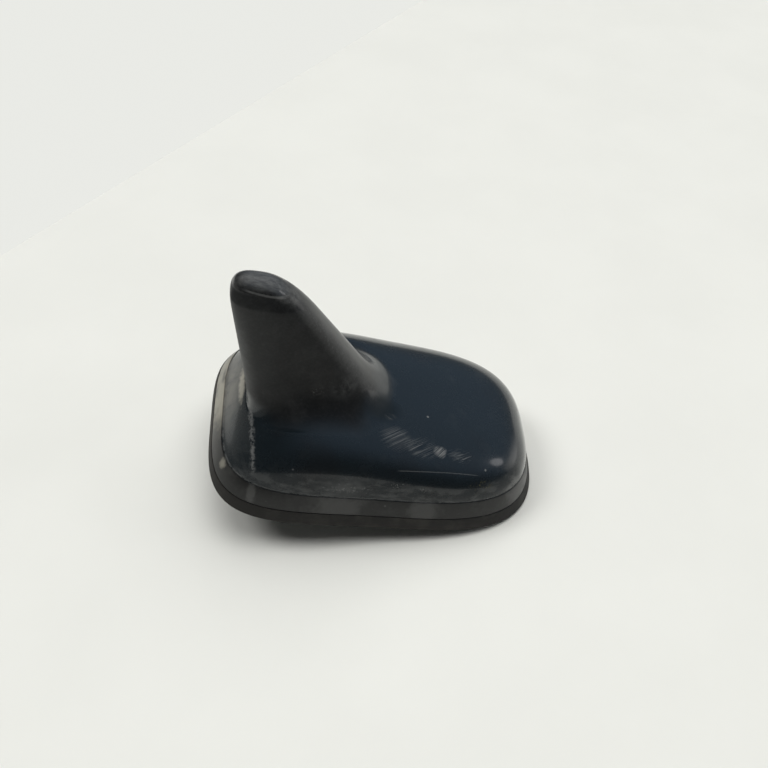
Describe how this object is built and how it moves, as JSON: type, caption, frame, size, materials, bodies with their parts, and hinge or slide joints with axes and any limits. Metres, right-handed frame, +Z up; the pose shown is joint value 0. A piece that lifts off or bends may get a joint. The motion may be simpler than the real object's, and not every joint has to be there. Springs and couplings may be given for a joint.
{
  "type": "gps roof antenna",
  "caption": "Fin-shaped roof antenna: a moulded cover with a tall swept fin on a cast base, rubber roof gasket and hollow threaded stud.",
  "frame": {"origin": "stud axis at the roof plane, which the foot of the rubber gasket rests on", "axes": "+X towards the low nose, +Y to the antenna's left, +Z up, away from the roof"},
  "size_m": [0.108, 0.0712, 0.0749],
  "materials": {
    "cover_paint": "gloss blue-black paint over moulded plastic, lightly scratched",
    "frame_plastic": "satin black moulded plastic, a little greyed",
    "gasket_rubber": "matt dark grey-brown rubber",
    "cast_metal": "pressure die cast, fine grain",
    "seal_rubber": "matt black rubber cord",
    "spring_steel": "nickel-plated spring steel",
    "vent_film": "white porous film",
    "socket_plastic": "black moulded plastic",
    "plated_brass": "gold-plated brass",
    "board_green": "green solder resist on glass board",
    "screw_steel": "zinc-plated steel",
    "pad_foam": "white adhesive pad",
    "patch_ceramic": "unglazed beige ceramic",
    "silver_face": "fired silver face",
    "tinned_sheet": "tin-plated sheet",
    "chip_plastic": "black moulded chip bodies",
    "chip_ceramic": "small ceramic parts",
    "copper_foil": "bare copper foil",
    "tip_foam": "dark closed-cell foam"
  },
  "bodies": {
    "root": {"fin_cover": "cover_paint", "skirt_frame": "frame_plastic", "roof_gasket": "gasket_rubber", "base_plate": "cast_metal", "seal_cord": "seal_rubber", "ground_contact": "spring_steel", "vent_disc": "vent_film", "socket_block": "socket_plastic", "socket_shells": "plated_brass", "socket_pins": "plated_brass", "main_board": "board_green", "board_screws": "screw_steel", "frame_screws": "screw_steel", "patch_pad": "pad_foam", "gps_patch": "patch_ceramic", "patch_electrode": "silver_face", "feed_pin": "plated_brass", "screen_fence": "tinned_sheet", "screen_lid": "tinned_sheet", "amplifier_parts": "chip_plastic", "board_parts": "chip_ceramic", "fin_board": "board_green", "phone_element": "copper_foil", "fin_board_holder": "socket_plastic", "contact_springs": "plated_brass", "tip_foam": "tip_foam"}
  },
  "joints": []
}
